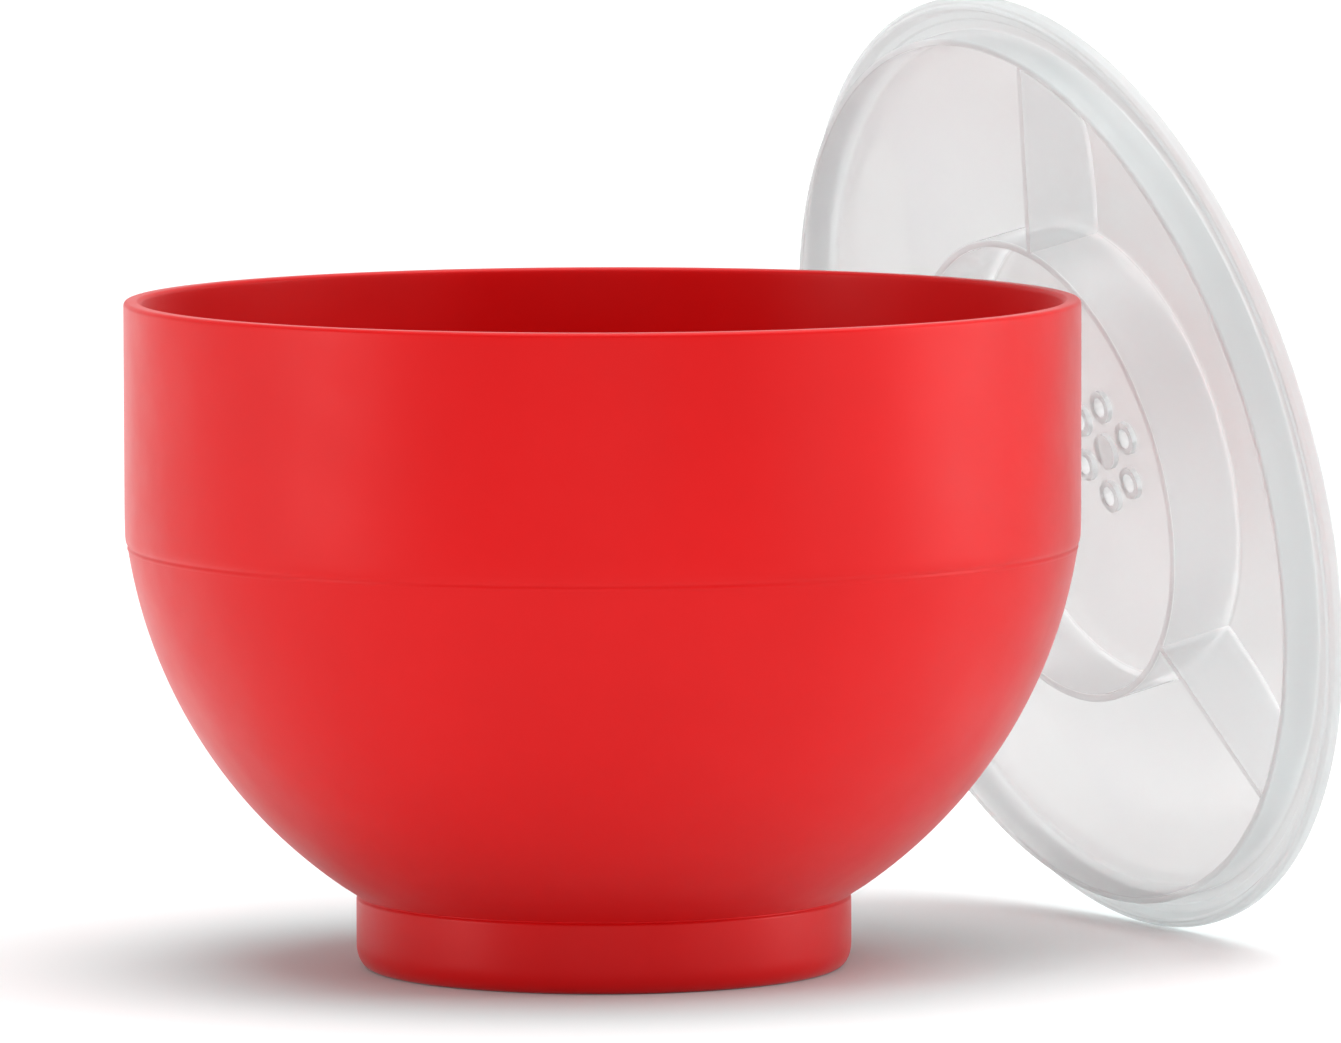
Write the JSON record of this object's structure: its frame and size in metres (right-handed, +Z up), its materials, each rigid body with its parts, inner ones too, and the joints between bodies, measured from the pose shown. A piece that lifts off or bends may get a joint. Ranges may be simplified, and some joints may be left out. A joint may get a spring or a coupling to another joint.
{
  "type": "microwave popcorn maker",
  "caption": "Collapsible round silicone popcorn bowl on a foot ring, with a vented translucent plastic lid leaning against its rim.",
  "frame": {"origin": "centre of the foot ring's underside, on the surface that the bowl stands on", "axes": "+Z up, along the bowl's axis; -Y faces the viewer; the lid leans on the rim on the +X side, turned 28.6 degrees towards +Y"},
  "size_m": [0.2661, 0.2566, 0.2113],
  "materials": {
    "silicone": "satin moulded silicone",
    "lid_plastic": "translucent natural polypropylene, smooth"
  },
  "bodies": {
    "base": {"foot_ring": "silicone", "lower_bowl": "silicone"},
    "band": {"fold_wall": "silicone", "upper_band": "silicone"},
    "lid": {"lid_cover": "lid_plastic", "lid_lip": "lid_plastic", "lid_skirt": "lid_plastic", "lid_ring_rib": "lid_plastic", "lid_straight_ribs": "lid_plastic", "vent_collars": "lid_plastic", "centre_boss": "lid_plastic"}
  },
  "joints": [
    {"name": "bowl_collapse", "type": "slide", "parent": "base", "child": "band", "axis": [0, 0, -1], "range_m": [0, 0.0872], "deforming": ["fold_wall"]},
    {"name": "lid_lift", "type": "slide", "parent": "base", "child": "lid", "axis": [0, 0, 1], "range_m": [0, 0.16]}
  ]
}
